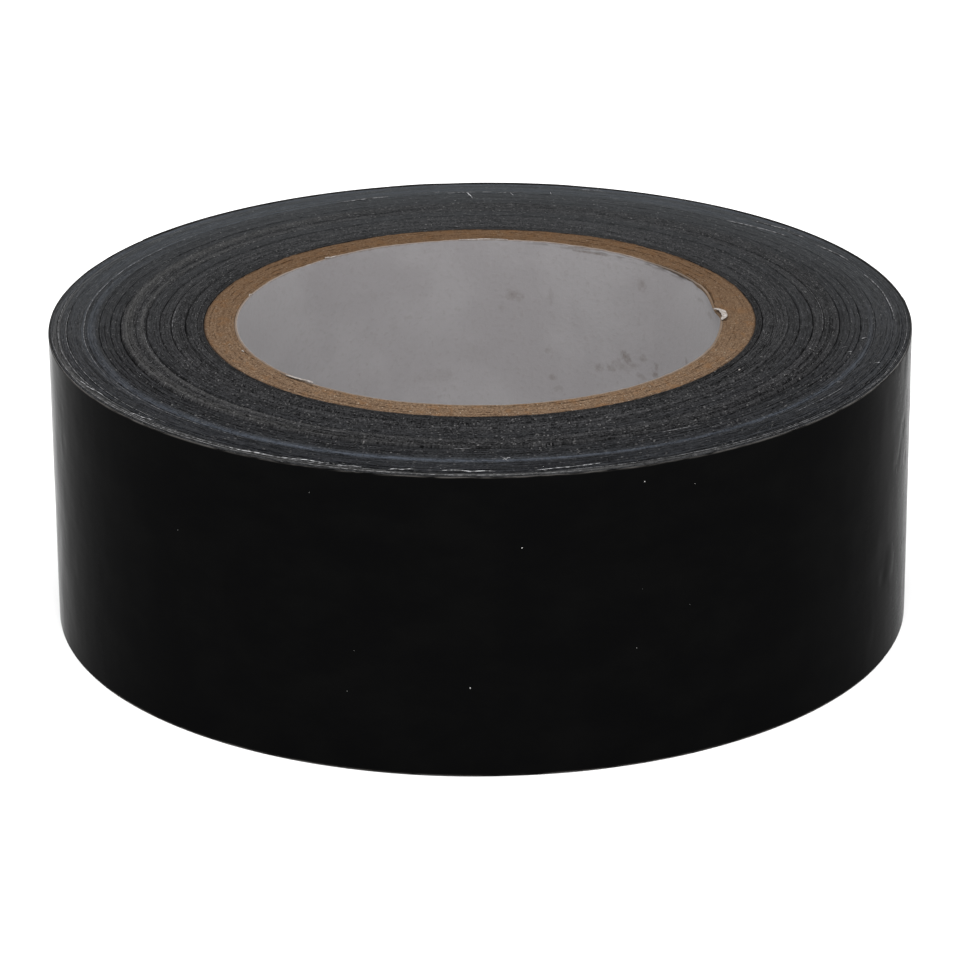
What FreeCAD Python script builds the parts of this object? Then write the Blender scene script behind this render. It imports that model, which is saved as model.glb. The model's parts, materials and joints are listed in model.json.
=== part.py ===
import FreeCAD, Part
import math
import os

import Sketcher

# A roll of cloth-backed duct tape, lying on one end face.
# Millimetres, +Z along the roll's axis, origin at the centre of the face that it rests on.
#
# Core: a paper liner, kraft body plies and a cover ply, each wound as a tube on the one inside it.
# Tape: one strip. Its turns stand in bands that sit a little higher or lower than their neighbours.
# The last turn is modelled as its three laminate layers, and follows the spiral that the strip winds.
# Free end: the last stretch of that turn, in short segments hinged to each other so that it peels.

BODY_PLY_COUNT = 8
FREE_END_SEGMENTS = 4

# Turns in each band from the core outwards, and how far the band's lower edge stands above the floor.
BANDS = [
    (6, 0.00),
    (11, 0.15),
    (13, 0.25),
    (11, 0.12),
    (12, 0.22),
    (10, 0.14),
    (14, 0.24),
    (10, 0.10),
    (10, 0.16),
    (14, 0.12),
    (16, 0.17),
    (8, 0.07),
    (9, 0.00),
]

DRIVING_SIZES = [
    ("tape_width", 48.0),
    ("film_thickness", 0.06),
    ("scrim_thickness", 0.05),
    ("adhesive_thickness", 0.06),
    ("core_length", 48.0),
    ("core_lift", 0.0),
    ("core_bore_radius", 38.5),
    ("liner_thickness", 0.42),
    ("ply_thickness", 0.565),
    ("cover_ply_thickness", 0.36),
    ("outer_turn_lift", 0.08),
    ("free_end_angle", 145.0),
    ("free_end_segment_angle", 10.5),
    ("free_end_butt_angle", 0.03),
    ("free_end_clearance", 0.03),
]

TAPE = "(Sizes.film_thickness + Sizes.scrim_thickness + Sizes.adhesive_thickness)"
CORE_RADIUS = (
    "Sizes.core_bore_radius + Sizes.liner_thickness"
    f" + {BODY_PLY_COUNT} * Sizes.ply_thickness + Sizes.cover_ply_thickness"
)

# Points of a sketch's geometry, and the sketch's own origin and X axis.
START = 1
END = 2
CENTRE = 3
ORIGIN = -1
X_AXIS = -1


def make_sheet(document):
    """The driving sizes, one per row, each with an alias."""
    sheet = document.addObject("Spreadsheet::Sheet", "Sizes")
    rows = list(DRIVING_SIZES)
    for number, (turns, lift) in enumerate(BANDS, start=1):
        rows.append((f"band_{number:02d}_turns", turns))
        rows.append((f"band_{number:02d}_lift", lift))
    for row, (alias, value) in enumerate(rows, start=1):
        sheet.set(f"A{row}", alias)
        sheet.set(f"B{row}", str(value))
        sheet.setAlias(f"B{row}", alias)
    document.recompute()
    return sheet


def new_body(document, name):
    """A PartDesign body with its label, and a sketch on the body's own XY plane."""
    body = document.addObject("PartDesign::Body", name)
    body.Label = name
    plane = next(item for item in body.Origin.OriginFeatures if item.Role == "XY_Plane")
    sketch = body.newObject("Sketcher::SketchObject", f"{name}_outline")
    sketch.AttachmentSupport = [(plane, "")]
    sketch.MapMode = "FlatFace"
    return body, sketch


def constrain(sketch, expression, *constraint):
    """Add a dimension and bind it to the sheet."""
    number = sketch.addConstraint(Sketcher.Constraint(*constraint))
    sketch.setExpression(f"Constraints[{number}]", expression)


def join(sketch, pairs):
    """Make pairs of (geometry, point) coincide."""
    for (first, first_point), (second, second_point) in pairs:
        sketch.addConstraint(Sketcher.Constraint("Coincident", first, first_point, second, second_point))


def on_x_axis(sketch, points):
    """Hold each (geometry, point) on the sketch's X axis."""
    for geometry, point in points:
        sketch.addConstraint(Sketcher.Constraint("PointOnObject", geometry, point, X_AXIS))


def pad(body, sketch, length, lift):
    """Extrude the outline upwards and stand the body at its height above the floor."""
    feature = body.newObject("PartDesign::Pad", f"{body.Name}_pad")
    feature.Profile = sketch
    feature.setExpression("Length", length)
    sketch.Visibility = False
    body.setExpression("Placement.Base.z", lift)


def circle_geometry(radius):
    return Part.Circle(FreeCAD.Vector(0, 0, 0), FreeCAD.Vector(0, 0, 1), radius)


def arc_geometry(centre_x, radius, start, end):
    circle = Part.Circle(FreeCAD.Vector(centre_x, 0, 0), FreeCAD.Vector(0, 0, 1), radius)
    return Part.ArcOfCircle(circle, start, end)


def line_between(start, end):
    return Part.LineSegment(start, end)


def add_circle(sketch, radius, expression):
    """A circle about the sketch's origin."""
    number = sketch.addGeometry(circle_geometry(radius))
    join(sketch, [((number, CENTRE), (ORIGIN, START))])
    constrain(sketch, expression, "Radius", number, radius)


def make_ring(document, name, inner, outer, length, lift):
    """A plain tube. inner and outer are expressions, which only need rough radii to start from."""
    body, sketch = new_body(document, name)
    for radius, expression in ((40.0, inner), (60.0, outer)):
        add_circle(sketch, radius, expression)
    pad(body, sketch, length, lift)


def core_radius_after(plies):
    """The radius outside the liner and this many body plies, as an expression."""
    return f"Sizes.core_bore_radius + Sizes.liner_thickness + {plies} * Sizes.ply_thickness"


def make_core(document):
    """The spiral-wound paper tube, ply by ply."""
    length = "Sizes.core_length"
    lift = "Sizes.core_lift"
    make_ring(document, "core_liner", "Sizes.core_bore_radius", core_radius_after(0), length, lift)
    for ply in range(BODY_PLY_COUNT):
        name = f"core_kraft_ply_{ply + 1}"
        make_ring(document, name, core_radius_after(ply), core_radius_after(ply + 1), length, lift)
    inner = core_radius_after(BODY_PLY_COUNT)
    make_ring(document, "core_cover_ply", inner, CORE_RADIUS, length, lift)


def radius_after(bands):
    """The radius outside the first so many bands of turns, as an expression."""
    turns = "".join(f" + Sizes.band_{number:02d}_turns" for number in range(1, bands + 1))
    return f"{CORE_RADIUS} + (0{turns}) * {TAPE}"


def band_name(number):
    """The node's name gives the turns that the band holds."""
    first = 1 + sum(turns for turns, _ in BANDS[: number - 1])
    last = first + BANDS[number - 1][0] - 1
    return f"tape_turns_{first:03d}_to_{last:03d}"


def spiral_start():
    """The radius where the last turn begins: one thickness inside the last band's full radius."""
    return f"{radius_after(len(BANDS))} - {TAPE}"


def add_spiral_turn(sketch, radius, thickness, outside, last_angle):
    """Two arcs that climb one tape thickness in a turn, shifted out by the expression outside.

    The first half turn is centred a quarter thickness behind the origin and the second as far in
    front of it, so they meet in line on the X axis. Returns the numbers of the two arcs.
    """
    shift = thickness / 4
    first = sketch.addGeometry(arc_geometry(-shift, radius + shift, 0, math.pi))
    second = sketch.addGeometry(arc_geometry(shift, radius + 3 * shift, math.pi, last_angle))
    join(sketch, [((first, END), (second, START))])
    on_x_axis(sketch, [(first, START), (first, END), (first, CENTRE), (second, CENTRE)])
    constrain(sketch, f"{TAPE} / 4", "DistanceX", first, CENTRE, ORIGIN, START, shift)
    constrain(sketch, f"{TAPE} / 4", "DistanceX", ORIGIN, START, second, CENTRE, shift)
    start = f"{spiral_start()} + {TAPE} / 4 + {outside}"
    constrain(sketch, start, "Radius", first, radius + shift)
    return first, second


def make_last_band(document, values):
    """The band under the last turn. Its outside is the spiral that the strip lies on, with one step."""
    number = len(BANDS)
    body, sketch = new_body(document, band_name(number))
    add_circle(sketch, 40.0, radius_after(number - 1))
    radius, thickness = values["spiral_start"], values["thickness"]
    first, second = add_spiral_turn(sketch, radius, thickness, "0", 2 * math.pi)
    low = FreeCAD.Vector(radius, 0, 0)
    high = FreeCAD.Vector(radius + thickness, 0, 0)
    step = sketch.addGeometry(line_between(high, low))
    join(sketch, [((second, END), (step, START)), ((step, END), (first, START))])
    on_x_axis(sketch, [(step, START)])
    body.Placement.Rotation = turned(values["free_end_angle"])
    pad(body, sketch, "Sizes.tape_width", f"Sizes.band_{number:02d}_lift")


def turned(degrees):
    return FreeCAD.Rotation(FreeCAD.Vector(0, 0, 1), degrees)


def layers():
    """Name of each laminate layer, with expressions for its inner and outer height in the strip."""
    adhesive = "Sizes.adhesive_thickness"
    scrim = f"{adhesive} + Sizes.scrim_thickness"
    return [
        ("adhesive", "0", adhesive),
        ("cloth_scrim", adhesive, scrim),
        ("backing_film", scrim, TAPE),
    ]


def make_last_turn_layer(document, layer, inside, outside, values):
    """One layer of the last turn, from the step where it begins to the first hinge of the free end."""
    body, sketch = new_body(document, f"last_turn_{layer}")
    radius, thickness = values["spiral_start"], values["thickness"]
    free_angle = FREE_END_SEGMENTS * values["free_end_segment_angle"]
    last_angle = 2 * math.pi - math.radians(free_angle)
    inner = add_spiral_turn(sketch, radius, thickness, inside, last_angle)
    outer = add_spiral_turn(sketch, radius + thickness / 2, thickness, outside, last_angle)
    ends = []
    for inner_arc, outer_arc, point in ((inner[0], outer[0], START), (inner[1], outer[1], END)):
        start = sketch.getPoint(inner_arc, point)
        end = sketch.getPoint(outer_arc, point)
        line = sketch.addGeometry(line_between(start, end))
        join(sketch, [((line, START), (inner_arc, point)), ((line, END), (outer_arc, point))])
        ends.append(line)
    sketch.addConstraint(Sketcher.Constraint("PointOnObject", inner[1], CENTRE, ends[1]))
    angle = f"-{FREE_END_SEGMENTS} * Sizes.free_end_segment_angle * 1 deg"
    constrain(sketch, angle, "Angle", ends[1], -math.radians(free_angle))
    body.Placement.Rotation = turned(values["free_end_angle"])
    pad(body, sketch, "Sizes.tape_width", "Sizes.outer_turn_lift")


def make_free_end_piece(document, segment, layer, inside, outside, values):
    """One layer of one segment of the free end: a short arc with flat radial ends."""
    body, sketch = new_body(document, f"free_end_{segment + 1}_{layer}")
    sweep = math.radians(values["free_end_segment_angle"])
    base = f"{spiral_start()} + 3 * {TAPE} / 4 + Sizes.free_end_clearance"
    radius = values["spiral_start"] + values["thickness"]
    inner = sketch.addGeometry(arc_geometry(0, radius, 0, sweep))
    outer = sketch.addGeometry(arc_geometry(0, radius + values["thickness"], 0, sweep))
    first = sketch.addGeometry(line_between(sketch.getPoint(inner, START), sketch.getPoint(outer, START)))
    last = sketch.addGeometry(line_between(sketch.getPoint(inner, END), sketch.getPoint(outer, END)))
    join(sketch, [((inner, CENTRE), (ORIGIN, START)), ((outer, CENTRE), (ORIGIN, START))])
    join(sketch, [((first, START), (inner, START)), ((first, END), (outer, START))])
    join(sketch, [((last, START), (inner, END)), ((last, END), (outer, END))])
    on_x_axis(sketch, [(inner, START), (outer, START)])
    sketch.addConstraint(Sketcher.Constraint("PointOnObject", ORIGIN, START, last))
    constrain(sketch, f"{base} + {inside}", "Radius", inner, radius)
    constrain(sketch, f"{base} + {outside}", "Radius", outer, radius + values["thickness"])
    angle = "(Sizes.free_end_segment_angle - Sizes.free_end_butt_angle) * 1 deg"
    constrain(sketch, angle, "Angle", last, sweep)
    behind = FREE_END_SEGMENTS - segment
    start_angle = values["free_end_angle"] - behind * values["free_end_segment_angle"]
    start_angle += values["free_end_butt_angle"] / 2
    body.Placement.Rotation = turned(start_angle)
    for letter, wave in (("x", "cos"), ("y", "sin")):
        body.setExpression(
            f"Placement.Base.{letter}",
            f"{TAPE} / 4 * {wave}(Sizes.free_end_angle * 1 deg)",
        )
    pad(body, sketch, "Sizes.tape_width", "Sizes.outer_turn_lift")


def make_tape(document, values):
    """The bands of turns, the last turn and the free end."""
    for number in range(1, len(BANDS)):
        inner = radius_after(number - 1)
        lift = f"Sizes.band_{number:02d}_lift"
        make_ring(document, band_name(number), inner, radius_after(number), "Sizes.tape_width", lift)
    make_last_band(document, values)
    for layer, inside, outside in layers():
        make_last_turn_layer(document, layer, inside, outside, values)
        for segment in range(FREE_END_SEGMENTS):
            make_free_end_piece(document, segment, layer, inside, outside, values)


def starting_values(sheet):
    """Numbers read from the sheet, for where sketches start before their constraints are solved."""
    thickness = sheet.film_thickness + sheet.scrim_thickness + sheet.adhesive_thickness
    core = sheet.core_bore_radius + sheet.liner_thickness
    core += BODY_PLY_COUNT * sheet.ply_thickness + sheet.cover_ply_thickness
    turns = sum(turns for turns, _ in BANDS)
    return {
        "thickness": thickness,
        "spiral_start": core + (turns - 1) * thickness,
        "free_end_angle": sheet.free_end_angle,
        "free_end_segment_angle": sheet.free_end_segment_angle,
        "free_end_butt_angle": sheet.free_end_butt_angle,
    }


def check(document):
    """Stop if any object failed, or if a sub-part has no sound single solid."""
    for item in document.Objects:
        if "Invalid" in item.State or "Error" in item.State:
            raise RuntimeError(f"{item.Label} failed: {item.State}")
    bodies = [item for item in document.Objects if item.TypeId == "PartDesign::Body"]
    for body in bodies:
        shape = body.Shape
        if shape.isNull() or not shape.isValid() or len(shape.Solids) != 1:
            raise RuntimeError(f"{body.Label} is not one valid solid")
    return bodies


def main():
    document = FreeCAD.newDocument("duct_tape_roll")
    sheet = make_sheet(document)
    make_core(document)
    make_tape(document, starting_values(sheet))
    document.recompute()
    bodies = check(document)
    os.makedirs("parts", exist_ok=True)
    for body in bodies:
        body.Shape.exportStep(os.path.join("parts", f"{body.Label}.step"))
        box = body.Shape.BoundBox
        print(f"{body.Label}: {body.Shape.Volume:.1f} mm3, z {box.ZMin:.2f} to {box.ZMax:.2f}")


main()
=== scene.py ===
import json
import math

import bpy
import numpy as np
from mathutils import Matrix, Vector


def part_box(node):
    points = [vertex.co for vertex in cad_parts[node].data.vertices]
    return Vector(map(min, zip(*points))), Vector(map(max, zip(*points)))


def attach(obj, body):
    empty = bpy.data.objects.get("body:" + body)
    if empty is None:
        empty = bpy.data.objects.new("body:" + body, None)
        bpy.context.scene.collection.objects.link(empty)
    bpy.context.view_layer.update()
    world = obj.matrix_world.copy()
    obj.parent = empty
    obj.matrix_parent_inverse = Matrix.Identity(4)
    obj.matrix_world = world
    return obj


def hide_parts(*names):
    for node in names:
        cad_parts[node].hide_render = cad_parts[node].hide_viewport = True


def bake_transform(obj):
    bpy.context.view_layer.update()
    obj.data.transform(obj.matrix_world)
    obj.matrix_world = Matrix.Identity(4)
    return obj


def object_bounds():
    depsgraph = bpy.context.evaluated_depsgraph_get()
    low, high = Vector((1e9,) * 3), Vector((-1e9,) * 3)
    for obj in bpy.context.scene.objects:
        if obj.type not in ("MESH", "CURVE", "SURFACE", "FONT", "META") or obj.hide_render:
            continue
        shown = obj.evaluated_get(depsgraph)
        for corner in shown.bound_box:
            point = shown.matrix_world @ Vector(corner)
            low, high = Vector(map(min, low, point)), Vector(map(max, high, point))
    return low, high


# A roll of black cloth-backed duct tape on a kraft paper core, lying on one end face.
# Everything is worked out in millimetres and turned into metres when a mesh is made.

MM = 0.001
SEED = 145
STEPS = 900  # points round the roll

# Camera, in millimetres and degrees.
CAMERA_PLACE = (0.0, -701.9, 301.2)
CAMERA_YAW, CAMERA_PITCH, CAMERA_ROLL = -0.0120, -21.8120, -0.3858
CAMERA_LENS = 176.15
CAMERA_SENSOR = 36.0

# Light and floor, in millimetres and watts.
SKY_STRENGTH = 1.2
KEY_LIGHT_PLACE = (0, -650, 1150)
KEY_LIGHT_SIZE = (1100, 900)
KEY_LIGHT_WATTS = 15.0
FLOOR_SHADE = 0.95
FLOOR_REACH = 4000
FLOOR_HEIGHT = -0.01

# The core, in millimetres. The knock is the dent in the bore's upper edge, on the right.
PLIES = 8
BORE_RADIUS = 38.5
KNOCK_DEPTH = 1.0
KNOCK_START = BORE_RADIUS + 0.5  # outwards of this radius the knock fades
KNOCK_REACH = 3.3  # and over this distance it is gone
KNOCK_HEIGHT = 1.8  # how far down it reaches
EDGE_LEVELS = (0.01, 0.03, 0.05, 0.08, 0.12, 0.5)  # points on the core's sides, shares of the way down

# The strip of tape, in millimetres and degrees. Angles run from +X towards +Y.
FREE_END_ANGLE = 145.0  # where the strip is cut
FREE_SEGMENTS = 4
SEGMENT_ANGLE = 10.5
CLEARANCE = 0.03  # gap between the free end and the turn under it
MID_HEIGHT = 24.08  # half way up the last turn
THREAD_WAVES = (1.15, 2.3)  # lengths of the waves that the cloth prints up the strip and along it
EDGE_RECESS = 0.05  # how far the cloth and the adhesive end below the film's upper edge
# Each layer with its inner and outer face, from the strip's inner face.
LAYERS = (("adhesive", 0.0, 0.06), ("cloth_scrim", 0.06, 0.11), ("backing_film", 0.11, 0.17))

# Each band of turns, from the core outwards: (turns, brightness of its wound edge, how grainy it is,
# how much it shines and how strong its painted sheen towards the back is, drop of its top below the
# CAD face, depth of the groove at its outer side).
BANDS = [
    (6, 0.72, 0.9, 0.0, -0.08, 0.08),
    (11, 1.05, 1.3, 0.1, 0.03, 0.20),
    (13, 1.18, 1.3, 0.1, 0.00, 0.20),
    (11, 1.00, 1.2, 0.2, 0.03, 0.19),
    (12, 0.84, 1.0, 0.4, 0.05, 0.24),
    (10, 1.04, 1.3, 0.1, 0.00, 0.20),
    (14, 0.98, 1.35, 0.1, 0.00, 0.26),
    (10, 0.72, 0.9, 0.5, 0.05, 0.22),
    (10, 0.76, 0.9, 0.6, 0.02, 0.17),
    (14, 0.80, 0.9, 0.7, 0.00, 0.03),
    (16, 0.72, 0.6, 1.0, 0.02, 0.02),
    (8, 0.76, 0.7, 1.0, 0.00, 0.01),
    (9, 0.80, 0.8, 0.8, 0.01, 0.02),
]
LEVEL_BAND = 9  # the threads and the lint lie at this band's height

# Paler rings in the wound edge: (band, radius, half width, x and y of the direction in which it is
# brightest, strength, colour).
BLUISH = (0.060, 0.069, 0.085)
GREYISH = (0.085, 0.084, 0.082)
PALE_RINGS = [
    (5, 53.60, 0.55, -0.98, -0.1, 0.30, GREYISH),
    (6, 55.80, 1.25, -0.98, -0.1, 0.40, GREYISH),
    (9, 61.95, 0.70, 0.15, -0.95, 0.75, BLUISH),
    (9, 61.60, 1.10, -0.80, -0.6, 0.34, BLUISH),
    (10, 62.90, 0.30, -0.7, 0.5, 0.45, BLUISH),
    (10, 64.60, 1.60, -0.2, 0.97, 0.22, BLUISH),
    (11, 66.60, 0.22, -0.97, -0.1, 0.45, GREYISH),
    (12, 67.30, 0.70, -0.2, 0.9, 0.75, BLUISH),
    (12, 67.30, 0.75, -0.52, -0.85, 0.58, GREYISH),
]

# Whitish threads pulled out of the wound edge: (first angle, first radius, last angle, last radius,
# thickness, waviness).
LOOSE_THREADS = [
    (236.5, 67.2, 243.0, 66.9, 0.055, 0.10),
    (243.5, 67.0, 250.5, 66.4, 0.060, 0.12),
    (251.5, 66.7, 254.8, 66.5, 0.050, 0.08),
    (258.3, 66.6, 261.7, 65.9, 0.070, 0.12),
    (264.9, 66.0, 271.8, 66.3, 0.075, 0.14),
    (276.9, 66.4, 285.6, 65.6, 0.055, 0.06),
    (272.7, 60.4, 273.7, 62.4, 0.055, 0.10),
    (273.0, 61.6, 274.1, 61.0, 0.045, 0.05),
    (206.0, 67.2, 210.5, 66.6, 0.050, 0.06),
    (203.0, 67.4, 206.0, 67.1, 0.045, 0.05),
    (91.9, 62.9, 91.1, 60.0, 0.085, 0.05),
    (85.1, 62.7, 84.5, 61.4, 0.055, 0.05),
    (79.0, 63.7, 78.6, 62.7, 0.040, 0.05),
    (-10.5, 60.8, -9.8, 61.6, 0.050, 0.03),
    (-14.9, 58.3, -14.4, 59.1, 0.045, 0.03),
    (-16.8, 59.5, -16.3, 60.2, 0.045, 0.03),
    (-20.2, 64.6, -19.4, 65.5, 0.050, 0.03),
    (218.0, 67.0, 222.5, 66.4, 0.050, 0.08),
]

# Fine grey strands that nearly follow the turns: the same without the waviness, which is one for all.
STRAND_WAVE = 0.03
STRANDS = [
    (48.4, 62.75, 36.5, 64.20, 0.080),
    (45.6, 65.55, 38.7, 66.40, 0.075),
    (37.6, 65.65, 35.2, 66.00, 0.085),
    (31.4, 65.35, 23.6, 65.95, 0.085),
    (17.1, 65.35, 11.2, 65.65, 0.085),
    (12.0, 65.60, -1.8, 65.65, 0.080),
    (113.1, 62.50, 104.3, 62.80, 0.075),
    (102.3, 63.60, 96.1, 63.30, 0.045),
    (95.5, 62.80, 88.0, 63.20, 0.040),
    (87.0, 62.70, 83.0, 63.20, 0.040),
    (76.1, 66.25, 71.3, 66.50, 0.060),
    (138.0, 62.75, 203.0, 62.75, 0.050),
    (205.0, 62.72, 236.0, 62.80, 0.036),
    (176.0, 65.48, 224.0, 65.58, 0.046),
    (168.0, 66.78, 214.0, 66.70, 0.048),
    (186.0, 67.72, 240.0, 67.72, 0.042),
    (212.0, 67.30, 258.0, 67.00, 0.052),
    (246.0, 67.75, 284.0, 67.75, 0.052),
    (281.0, 66.95, 321.0, 67.25, 0.038),
    (300.0, 67.60, 347.0, 67.80, 0.026),
    (-30.0, 67.55, 2.0, 67.60, 0.036),
    (171.0, 48.60, 190.0, 48.80, 0.052),
    (150.0, 54.90, 172.0, 55.00, 0.036),
    (186.0, 53.30, 204.0, 53.40, 0.036),
    (212.0, 55.90, 228.0, 56.00, 0.036),
    (-8.0, 54.35, 14.0, 54.40, 0.040),
    (-6.0, 48.75, 10.0, 48.80, 0.036),
    (290.0, 56.50, 297.0, 56.70, 0.046),
    (258.0, 55.20, 262.0, 55.40, 0.046),
    (266.0, 57.30, 268.5, 57.10, 0.052),
    (298.0, 57.60, 303.0, 57.90, 0.044),
    (318.0, 63.80, 330.0, 64.10, 0.036),
]

# Ends of cloth thread that stand out of the wound edge, all over it and in one patch.
FIBRES_ALL_OVER = 520
FIBRES_IN_PATCH = 240

# Splits in the core's top: (angle and radius of one end, of the other end, width, depth).
CRACKS = [
    ((350.5, 40.7), (347.0, 41.2), 0.10, 0.20),
    ((27.5, 39.1), (10.0, 39.0), 0.14, 0.5),
    ((128.0, 41.2), (150.0, 40.6), 0.08, 0.14),
    ((172.0, 42.9), (185.0, 42.9), 0.08, 0.10),
    ((146.5, 41.6), (148.5, 39.0), 0.08, 0.14),
    ((218.0, 39.1), (230.0, 39.3), 0.18, 0.7),
    ((292.0, 42.2), (300.0, 42.3), 0.08, 0.12),
]

# Torn paper at the bore's edge, and last a flake on the wound edge: (angle, radius and height over
# the core's face of three points, width, cup across the width).
SCRAPS = [
    (((5.6, 37.50, -0.08), (0.8, 38.70, 0.34), (-2.9, 38.50, 0.14)), 0.86, 0.12),
    (((220.0, 39.05, -0.10), (224.5, 38.95, 0.12), (228.6, 38.80, 0.10)), 0.36, 0.05),
    (((127.5, 38.60, -0.10), (129.5, 38.65, 0.02), (131.0, 38.70, 0.02)), 0.30, 0.04),
    (((83.0, 38.62, -0.08), (88.5, 38.60, 0.00), (95.0, 38.64, -0.06)), 0.20, 0.03),
    (((200.5, 39.60, -0.10), (201.3, 39.70, 0.00), (202.0, 39.80, 0.00)), 0.24, 0.03),
    (((161.5, 38.60, -0.10), (162.4, 38.68, 0.02), (163.2, 38.75, 0.02)), 0.28, 0.04),
    (((328.7, 46.95, 0.04), (328.1, 47.05, 0.10), (327.5, 47.15, 0.04)), 0.36, 0.05),
]
SCRAP_THICKNESS = 0.09

# Smudges on the paper inside the bore: (angle, height, size round the bore, size upwards, strength).
SMUDGES = [
    (81.3, 38.3, 1.2, 0.9, 0.50),
    (72.1, 38.5, 0.5, 1.3, 0.25),
    (84.5, 36.0, 0.5, 0.8, 0.20),
    (46.1, 43.5, 0.9, 0.9, 0.45),
    (72.9, 28.9, 0.5, 0.5, 0.35),
    (71.7, 24.2, 0.8, 0.5, 0.45),
    (70.1, 22.2, 0.7, 0.6, 0.50),
    (51.2, 30.2, 0.9, 0.8, 0.75),
    (50.2, 29.4, 0.6, 0.6, 0.80),
    (45.4, 30.8, 0.7, 0.6, 0.50),
    (59.0, 27.2, 0.8, 0.7, 0.50),
    (55.2, 27.5, 0.9, 0.6, 0.45),
    (52.3, 28.4, 1.7, 1.0, 0.32),
    (48.8, 28.9, 1.2, 0.5, 0.38),
    (46.3, 27.5, 1.1, 0.5, 0.32),
    (40.9, 30.0, 0.5, 0.8, 0.55),
    (41.5, 28.7, 0.7, 0.5, 0.70),
    (28.8, 33.4, 0.4, 0.6, 0.75),
    (101.8, 24.0, 3.2, 1.2, 0.14),
    (91.7, 28.0, 3.0, 1.6, 0.09),
    (120.0, 25.0, 3.0, 2.0, 0.08),
    (64.8, 47.62, 2.3, 0.16, 0.85),
    (61.4, 47.12, 2.7, 0.18, 0.75),
    (22.0, 45.60, 1.4, 0.35, 0.35),
    (15.5, 44.40, 1.2, 0.50, 0.30),
]

# Lint on the side wall: (angle, height, size), and the number of crumbs on the wound edge.
CRUMBS = 60
LINT = [
    (290.5, 45.5, 0.19),
    (297.4, 43.8, 0.09),
    (275.0, 36.8, 0.15),
    (290.3, 28.5, 0.09),
    (289.6, 19.1, 0.08),
    (253.9, 19.5, 0.08),
    (252.9, 12.8, 0.08),
    (268.5, 14.5, 0.24),
    (248.4, 43.9, 0.08),
    (296.9, 24.5, 0.08),
    (228.3, 33.0, 0.09),
    (313.7, 36.4, 0.09),
    (62.0, 30.0, 0.16),
    (171.0, 21.0, 0.15),
    (18.0, 40.0, 0.14),
]


# --- sizes read from the frame


def outer_radius(node):
    """Radius of a CAD ring, in mm."""
    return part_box(node)[1].x / MM


def heights(node):
    """Lower and upper face of a CAD node, in mm."""
    low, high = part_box(node)
    return low.z / MM, high.z / MM


def band_node(number):
    first = 1 + sum(band[0] for band in BANDS[:number])
    return f"tape_turns_{first:03d}_to_{first + BANDS[number][0] - 1:03d}"


# --- random shapes


def noise_field(rng, shape, lengths):
    """A random field that repeats in both directions, smooth over lengths cells, of unit spread."""
    spectrum = np.fft.rfft2(rng.standard_normal(shape))
    across = np.fft.fftfreq(shape[0])[:, None] * lengths[0]
    along = np.fft.rfftfreq(shape[1])[None, :] * lengths[1]
    field = np.fft.irfft2(spectrum * np.exp(-2 * math.pi**2 * (across**2 + along**2)), shape)
    return (field - field.mean()) / field.std()


def noise_line(rng, count, length):
    return noise_field(rng, (count, 1), (length, 0))[:, 0]


def smooth(value, low, high):
    t = np.clip((value - low) / (high - low), 0, 1)
    return t * t * (3 - 2 * t)


# --- meshes


def add_object(name, data):
    item = bpy.data.objects.new(name, data)
    bpy.context.scene.collection.objects.link(item)
    return item


def make_piece(name, points, faces, material):
    """A mesh object from points in mm and a list of face arrays, one row per face."""
    mesh = bpy.data.meshes.new(name)
    faces = [np.asarray(block) for block in faces]
    sizes = np.concatenate([np.full(len(block), block.shape[1]) for block in faces])
    corners = np.concatenate([block.ravel() for block in faces])
    mesh.vertices.add(len(points))
    mesh.vertices.foreach_set("co", (np.asarray(points) * MM).astype(np.float32).ravel())
    mesh.loops.add(len(corners))
    mesh.loops.foreach_set("vertex_index", corners.astype(np.int32))
    mesh.polygons.add(len(sizes))
    starts = np.concatenate([[0], np.cumsum(sizes)[:-1]])
    mesh.polygons.foreach_set("loop_start", starts.astype(np.int32))
    mesh.polygons.foreach_set("use_smooth", np.ones(len(sizes), bool))
    mesh.update(calc_edges=True)
    mesh.validate()
    mesh.set_sharp_from_angle(angle=math.radians(55))
    mesh.materials.append(material)
    piece = add_object(name, mesh)
    return piece


def grid_faces(steps, count, closed):
    """Faces of a tube whose section has count points. Closed joins the last step to the first."""
    i = np.arange(steps if closed else steps - 1)[:, None]
    j = np.arange(count)[None, :]
    after = (i + 1) % steps
    beside = (j + 1) % count
    corners = [i * count + j, i * count + beside, after * count + beside, after * count + j]
    return np.stack(corners, -1).reshape(-1, 4)


def cap_faces(steps, count):
    """The two end faces of an open tube."""
    start = np.arange(count)[::-1]
    return np.stack([start, (steps - 1) * count + np.arange(count)])


def polar(angle, radius, height):
    """Points at angles in radians, with x, y and z on a last axis."""
    return np.stack([radius * np.cos(angle), radius * np.sin(angle), height], -1)


def round_angles():
    return np.linspace(0, 2 * math.pi, STEPS, endpoint=False)[:, None]


def make_ring(name, radius, height, material):
    """A closed ring from radius and height arrays: one row per step round the roll, one column per
    point of the section, which runs outwards over the top, down, inwards below and up."""
    points = polar(round_angles(), radius, height).reshape(-1, 3)
    return make_piece(name, points, [grid_faces(*radius.shape, True)], material)


def make_strip(name, angle, radius, height, material):
    """A strip that begins at the first angle and ends at the last, with flat ends."""
    points = polar(angle[:, None], radius, height).reshape(-1, 3)
    faces = [grid_faces(*radius.shape, False), cap_faces(*radius.shape)]
    piece = make_piece(name, points, faces, material)
    along = piece.data.attributes.new("along", "FLOAT", "POINT")
    reach = np.repeat(np.unwrap(angle) * radius.mean() * MM, radius.shape[1])
    along.data.foreach_set("value", reach.astype(np.float32))
    return piece


# --- shader helpers


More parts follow.
